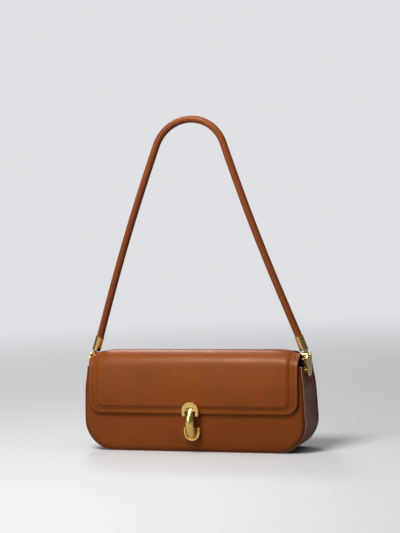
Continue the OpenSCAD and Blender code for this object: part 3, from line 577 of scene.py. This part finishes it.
# Slip pocket: a flat bag of lining cloth, sewn to the back lining at its sides and base.
# Its mouth has a narrow turned hem and stands open a little.
pocket_w, pocket_h, pocket_z, pocket_room = 120, 58, 16, 6
def pocket_point(u, v):
    """The pocket's free wall, drawn in to the lining round its sides and base."""
    x = (2 * u - 1) * pocket_w / 2
    z = pocket_z + pocket_h * v
    side = ease(min(1, (pocket_w / 2 - abs(x)) / 7))
    low = ease(min(1, (z - pocket_z) / 9))
    belly = (pocket_room + lining_t) * min(side, low) * (0.93 + 0.07 * ease((x / 60) ** 2))
    return x, half_depth(z) - facing_depth - max(0.85, belly), z
bm = laid_grid(64, 40, pocket_point)
facing(bm, lambda c: Vector((0, -1, 0)))
finished("slip_pocket_cloth", bm, lining_cloth, stands_for=["slip_pocket"], thickness=lining_t)
def hem_point(u, v):
    a = 2 * math.pi * u
    x, y, z = pocket_point(0.02 + 0.96 * v, 1)
    return x, y + 0.4 + 0.75 * math.cos(a), z - 1.2 + 1.7 * math.sin(a)
bm = laid_grid(12, 64, hem_point, wrap=True)
bmesh.ops.holes_fill(bm, edges=[e for e in bm.edges if e.is_boundary])
bmesh.ops.recalc_face_normals(bm, faces=bm.faces)
finished("slip_pocket_hem", bm, lining_cloth)

# Flap padding: thin closed foam under the leather's middle, left out round the clasp.
# It lies inside the stitched border and gives the flap its slightly raised field.
foam = microfibre("pale_foam", (0.55, 0.52, 0.47))
pad_edge, pad_start, pad_r = 8.8, 0.6, 6.2
clasp_room_half, clasp_room_top = 14.5, 64
def pad_point(u, v):
    t = pad_start + (flap_l - pad_edge - pad_start) * v
    low = flap_l - t - pad_edge
    rounding = pad_r - math.sqrt(max(0, pad_r ** 2 - (pad_r - low) ** 2)) if low < pad_r else 0
    return hide_point((2 * u - 1) * (flap_half - pad_edge - rounding), t, flap_leather_t + 0.05)
bm = laid_grid(70, 40, pad_point)
middles = [(f, f.calc_center_median()) for f in bm.faces]
clasp_room = [f for f, c in middles if abs(c.x) < clasp_room_half * mm and c.z < clasp_room_top * mm]
bmesh.ops.delete(bm, geom=clasp_room, context="FACES")
facing(bm, lambda c: Vector((0, c.y, c.z - 0.06)))
pad = finished("flap_foam", bm, foam, body="flap", stands_for=["flap_padding"], thickness=1.25)

# Lining of top and flap: thin split leather in one piece, glued and stitched under the hide.
# It bends with it at the fold.
split_leather = leather("split_leather", (0.105, 0.040, 0.016), (0.045, 0.016, 0.007), rough=0.62,
                        grain=1100, grain_depth=0.2)
lined_rows = [t for t in stations if t >= -(back_bend + shoulder_z - panel_h)]
lining_short = 0.35
def under_point(u, v):
    """A point of the lining's outer face, which ends a little short of the hide's edges."""
    t = lined_rows[round(v * (len(lined_rows) - 1))]
    depth = leather_t + 0.05 + (flap_leather_t + pad_t - leather_t) * ease(t / 6)
    along = t * (1 - lining_short / flap_l) if t > 0 else t
    return hide_point((2 * u - 1) * (hide_half(t) - lining_short), along, depth, raised=False)
bm = laid_grid(90, len(lined_rows) - 1, under_point)
facing(bm, lambda c: Vector((0, c.y, c.z - 0.06)))
under = finished("top_and_flap_lining", bm, split_leather, body=None,
                 stands_for=["top_lining", "flap_lining"], thickness=lining_t)
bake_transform(under)

# Flap stitching: one row of waxed thread all round the border, 3.2 mm to the stitch.
# It holds the hide, the foam's edge and the lining together, and stops beside the clasp.
def waxed_thread(name, colour):
    """Twisted thread or cord of one colour, with a soft shine."""
    thread = bpy.data.materials.new(name)
    thread.use_nodes = True
    nodes, links = thread.node_tree.nodes, thread.node_tree.links
    coords = nodes.new("ShaderNodeTexCoord")
    twist = nodes.new("ShaderNodeTexNoise")
    twist.inputs["Scale"].default_value = 1800
    links.new(coords.outputs["Object"], twist.inputs["Vector"])
    ramp = nodes.new("ShaderNodeValToRGB")
    ramp.color_ramp.elements[0].color = (*[c * 0.6 for c in colour], 1)
    ramp.color_ramp.elements[1].color = (*[min(1, c * 1.3) for c in colour], 1)
    links.new(twist.outputs["Fac"], ramp.inputs["Fac"])
    links.new(ramp.outputs["Color"], nodes["Principled BSDF"].inputs["Base Color"])
    nodes["Principled BSDF"].inputs["Roughness"].default_value = 0.6
    nodes["Principled BSDF"].inputs["Specular IOR Level"].default_value = 0.2
    return thread
thread = waxed_thread("brown_thread", (0.045, 0.007, 0.004))
def sew(bm, path, normals, pitch, length, width):
    """Lays one stitch every pitch mm along the path, each a flattened bead of thread."""
    due = pitch / 2
    for a, b, n in zip(path, path[1:], normals):
        step = (b - a).length
        while due <= step:
            middle, along = a.lerp(b, due / step), (b - a).normalized()
            up = (n - n.dot(along) * along).normalized()
            frame_of = Matrix((up.cross(along), along, up)).transposed().to_4x4()
            bead = Matrix.Diagonal((width * mm / 2, length * mm / 2, width * mm * 0.36, 1))
            place = Matrix.Translation(middle * mm) @ frame_of @ bead
            bmesh.ops.create_uvsphere(bm, u_segments=6, v_segments=4, radius=1, matrix=place)
            due += pitch
        due -= step
thread_w, stitch_pitch, stitch_l, clasp_clear = 1.1, 3.2, 1.9, 11
def border_path():
    """x and t of the stitch row from the right end of the fold round the border to the left end."""
    r = flap_r - stitch_in
    side = [(flap_half - stitch_in, t) for t in [5 + i for i in range(int(flap_l - flap_r - 5) + 1)]]
    turns = [math.radians(a) for a in range(5, 91, 5)]
    corner = [(flap_half - flap_r + r * math.cos(a), flap_l - flap_r + r * math.sin(a)) for a in turns]
    low = [(x, flap_l - stitch_in) for x in range(int(flap_half - flap_r) - 1, clasp_clear, -1)]
    half_row = side + corner + low
    return half_row, [(-x, t) for x, t in half_row]
bm = bmesh.new()
for row in border_path():
    points = [Vector(hide_point(x, t, -0.10)) for x, t in row]
    ups = [Vector((0, spine(t)[2], spine(t)[3])) for x, t in row]
    sew(bm, points, ups, stitch_pitch, stitch_l, thread_w)
stitches = finished("flap_stitching", bm, thread, body=None)
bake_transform(stitches)

# Clasp arch: a cast rounded plate with a window, gold plated and polished, screwed through the
# flap's lower edge to a small steel plate under the lining.
def plated(name, colour, rough):
    """Polished plating on cast zinc: fine wiping marks and a faint unevenness of the casting."""
    metal = bpy.data.materials.new(name)
    metal.use_nodes = True
    nodes, links = metal.node_tree.nodes, metal.node_tree.links
    shader = nodes["Principled BSDF"]
    coords = nodes.new("ShaderNodeTexCoord")
    wipe = nodes.new("ShaderNodeTexNoise")
    wipe.inputs["Scale"].default_value, wipe.inputs["Detail"].default_value = 340, 4
    links.new(coords.outputs["Object"], wipe.inputs["Vector"])
    gloss = nodes.new("ShaderNodeMapRange")
    gloss.inputs["To Min"].default_value, gloss.inputs["To Max"].default_value = rough - 0.05, rough + 0.08
    links.new(wipe.outputs["Fac"], gloss.inputs["Value"])
    links.new(gloss.outputs["Result"], shader.inputs["Roughness"])
    tarnish = nodes.new("ShaderNodeTexNoise")
    tarnish.inputs["Scale"].default_value = 55
    links.new(coords.outputs["Object"], tarnish.inputs["Vector"])
    tone = nodes.new("ShaderNodeMix")
    tone.data_type = "RGBA"
    tone.inputs["A"].default_value = (*colour, 1)
    tone.inputs["B"].default_value = (colour[0] * 0.85, colour[1] * 0.78, colour[2] * 0.65, 1)
    links.new(tarnish.outputs["Fac"], tone.inputs["Factor"])
    links.new(tone.outputs["Result"], shader.inputs["Base Color"])
    cast = nodes.new("ShaderNodeBump")
    cast.inputs["Strength"].default_value, cast.inputs["Distance"].default_value = 0.05, 0.0003
    links.new(wipe.outputs["Fac"], cast.inputs["Height"])
    links.new(cast.outputs["Normal"], shader.inputs["Normal"])
    shader.inputs["Metallic"].default_value = 1
    return metal
gold = plated("gold_plating", (1.0, 0.735, 0.26), 0.24)
steel = plated("bare_steel", (0.55, 0.55, 0.55), 0.38)
crisp_angle, sharp_angle = math.radians(32), math.radians(38)
def eased_copy(node, name, width, body):
    """A copy of a CAD solid with its triangles joined into whole faces and its sharp edges rounded."""
    bm = bmesh.new()
    bm.from_mesh(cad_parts[node].data)
    bmesh.ops.remove_doubles(bm, verts=bm.verts, dist=2e-6)
    bmesh.ops.dissolve_limit(bm, angle_limit=math.radians(0.6), verts=bm.verts, edges=bm.edges)
    bm.normal_update()
    crisp = [e for e in bm.edges if e.is_manifold and e.calc_face_angle(0) > crisp_angle]
    bmesh.ops.bevel(bm, geom=crisp, offset=width * mm, offset_type="OFFSET", segments=3, profile=0.5,
                    affect="EDGES", clamp_overlap=True, material=-1)
    piece = finished(name, bm, gold, body=body, stands_for=[node])
    piece.data.set_sharp_from_angle(angle=sharp_angle)
    even = piece.modifiers.new("even_faces", "WEIGHTED_NORMAL")
    even.weight, even.keep_sharp = 100, True
    return piece
eased_copy("clasp_arch", "clasp_arch_plate", 0.7, "flap")
surfaced("clasp_hinge_pin", gold)
for node in ("clasp_arch_backing", "clasp_arch_screws", "clasp_cup_backing", "clasp_cup_screws"):
    surfaced(node, steel)

# Clasp bar: one polished casting, thickest in the middle, that hangs from its pin in the arch's
# window and curves forwards over the flap's edge to its round tip in the cup.
pin_y, pin_z, tip_y, tip_z, bar_bow = 33.174, 47.826, 31.652, 18.7, 5
bar_end_r, bar_mid_r, face_wider, eye_w, eye_proud = 2.6, 4.8, 1.12, 6, 0.04
chord = math.hypot(pin_z - tip_z, pin_y - tip_y)
bar_arc_r = (chord ** 2 / 4 + bar_bow ** 2) / (2 * bar_bow)
bar_half = math.asin(chord / 2 / bar_arc_r)
bar_tilt = math.atan2(pin_y - tip_y, pin_z - tip_z)
def bar_axis(t):
    """Centre and tangent of the bar at t, 0 at the eye and 1 at the tip; y is counted forwards."""
    a = bar_half * (1 - 2 * t)
    forward, up = bar_arc_r * math.cos(a) - bar_arc_r * math.cos(bar_half), bar_arc_r * math.sin(a)
    tf, tu = math.sin(a), -math.cos(a)
    c, s = math.cos(bar_tilt), math.sin(bar_tilt)
    centre = ((pin_y + tip_y) / 2 + forward * c + up * s, (pin_z + tip_z) / 2 + up * c - forward * s)
    return centre, (tf * c + tu * s, tu * c - tf * s)
def bar_point(u, v):
    """A point of the bar's skin; the first and last rows close its round ends."""
    cap = 0.14
    if v < cap:
        swing, t = math.radians(90) * (1 - v / cap), 0
    elif v > 1 - cap:
        swing, t = math.radians(90) * (v - 1 + cap) / cap, 1
    else:
        swing, t = 0, (v - cap) / (1 - 2 * cap)
    (f, z), (tf, tz) = bar_axis(t)
    full = max(0, math.sin(math.pi * t))
    r = bar_end_r + (bar_mid_r - bar_end_r) * full ** 0.75
    half_face = face_wider * (bar_end_r + (bar_mid_r - bar_end_r) * full ** 0.48) * math.cos(swing)
    slide = math.sin(swing) * r * (-1 if t == 0 else 1)
    r *= math.cos(swing)
    b = 2 * math.pi * u
    forward = f + tf * slide - tz * r * math.cos(b)
    return half_face * math.sin(b), -forward, z + tz * slide + tf * r * math.cos(b)
bm = laid_grid(32, 56, bar_point, wrap=True)
bmesh.ops.recalc_face_normals(bm, faces=bm.faces)
finished("clasp_bar_casting", bm, gold, body="clasp_bar", stands_for=["clasp_bar"])
bm = bmesh.new()
eye_r = (bar_end_r + eye_proud) * mm
eye_place = Matrix.Translation((0, -pin_y * mm, pin_z * mm)) @ Matrix.Rotation(math.radians(90), 4, "Y")
bmesh.ops.create_cone(bm, cap_ends=True, segments=40, radius1=eye_r, radius2=eye_r, depth=eye_w * mm,
                      matrix=eye_place)
ends = [e for e in bm.edges if e.calc_face_angle(0) > math.radians(50)]
bmesh.ops.bevel(bm, geom=ends, offset=1.1 * mm, segments=4, profile=0.5, affect="EDGES", material=-1)
eye = finished("clasp_bar_eye", bm, gold, body="clasp_bar")
eye.data.set_sharp_from_angle(angle=sharp_angle)

# Clasp cup: a shallow plated bowl let into the front panel, open towards the flap.
# A small round magnet in its floor holds the bar's tip.
eased_copy("clasp_cup", "clasp_cup_bowl", 0.35, "root")
magnet = plated("nickel_magnet", (0.42, 0.42, 0.44), 0.3)
surfaced("clasp_magnet", magnet)

# Handle: a strip of the same calf rolled round a cotton cord, its two edges stitched edge to edge
# on the inner side of the curve. Its ends sit in the metal sleeves, held by small screws.
pivot_x, pivot_z, handle_top, handle_bend, handle_r, core_r = 125.5456, 105.5, 368.5, 42, 4, 2.2
limb_start, sway, sway_end, sway_start = 9.6, 3, 1.5, 22
bend_c_z = handle_top - handle_bend
limb_reach = math.hypot(pivot_x, bend_c_z - pivot_z)
limb_lean = math.atan2(pivot_x, bend_c_z - pivot_z) - math.asin(handle_bend / limb_reach)
limb_l, bend_sweep = math.sqrt(limb_reach ** 2 - handle_bend ** 2), math.pi - 2 * limb_lean
bend_length = handle_bend * bend_sweep
handle_l = 2 * (limb_l - limb_start) + bend_length
def handle_axis(s):
    """Centre and inward normal of the handle s mm from the leather's left end."""
    mirrored = s > handle_l / 2
    run = min(s, handle_l - s)
    if run < limb_l - limb_start:
        d = limb_start + run
        x, z = -(pivot_x - d * math.sin(limb_lean)), pivot_z + d * math.cos(limb_lean)
        inward = (math.cos(limb_lean), -math.sin(limb_lean))
    else:
        a = math.pi - limb_lean - (run - limb_l + limb_start) / handle_bend
        x, z = handle_bend * math.cos(a), bend_c_z + handle_bend * math.sin(a)
        inward = (-math.cos(a), -math.sin(a))
    side = -1 if mirrored else 1
    rise = min(1, max(0, (z - pivot_z - sway_start) / (handle_top - pivot_z - sway_start)))
    shift = sway * math.sin(math.pi * rise)
    return (side * x - shift + sway_end * rise ** 2, z), (side * inward[0], inward[1])
def handle_point(u, s, radius, groove=0.0):
    """A point of the rolled leather, with the shallow groove that its seam draws in."""
    (x, z), (nx, nz) = handle_axis(s)
    b = 2 * math.pi * u
    r = radius - groove * math.exp(-(min(b, 2 * math.pi - b) / 0.16) ** 2)
    r += 0.05 * noise.noise(Vector((s / 9, math.cos(b), math.sin(b)))) if groove else 0
    return x + nx * r * math.cos(b), r * math.sin(b), z + nz * r * math.cos(b)
handle_calf = leather("rolled_calf", (0.235, 0.056, 0.012), (0.100, 0.022, 0.005), rough=0.42)
bm = laid_grid(40, 300, lambda u, v: handle_point(u, v * handle_l, handle_r, 0.38), wrap=True)
bmesh.ops.recalc_face_normals(bm, faces=bm.faces)
facing(bm, lambda c: Vector((0, c.y, 0)))
finished("handle_rolled_leather", bm, handle_calf, body="handle", stands_for=["handle_leather"],
         thickness=1.7, shades=lambda p: 0.1)
cotton = waxed_thread("cotton_cord", (0.55, 0.47, 0.33))
def core_point(u, v):
    """A point of the core, whose three strands each wind round it thirty times."""
    return handle_point(u, v * handle_l, core_r - 0.12 + 0.1 * math.cos(2 * math.pi * (3 * u + 90 * v)))
bm = laid_grid(18, 400, core_point, wrap=True)
bmesh.ops.holes_fill(bm, edges=[e for e in bm.edges if e.is_boundary])
bmesh.ops.recalc_face_normals(bm, faces=bm.faces)
finished("handle_cotton_core", bm, cotton, body="handle", stands_for=["handle_core"])
bm = bmesh.new()
seam_margin, seam_step = 12, 1.6
samples = [seam_margin + i * seam_step for i in range(int((handle_l - 2 * seam_margin) / seam_step) + 1)]
seam = [Vector(handle_point(0.022, s, handle_r + 0.02)) for s in samples]
inner = [Vector((handle_axis(s)[1][0], 0.14, handle_axis(s)[1][1])) for s in samples]
sew(bm, seam, inner, 3.0, 2.2, 0.5)
finished("handle_stitching", bm, thread, body="handle")

# Handle fittings: gold-plated castings. The sleeve's barrel turns on a headed pin between the
# yoke's inner ear and its outer plate, which is riveted through the gusset to a steel plate.
for side in ("left", "right"):
    eased_copy(side + "_sleeve", side + "_sleeve_casting", 0.3, "handle")
    eased_copy(side + "_yoke", side + "_yoke_casting", 0.35, "root")
    eased_copy(side + "_pivot_pin", side + "_pin_turned", 0.35, "root")
    surfaced(side + "_yoke_backing", steel)
surfaced("sleeve_screws", gold)
surfaced("yoke_rivets", gold)
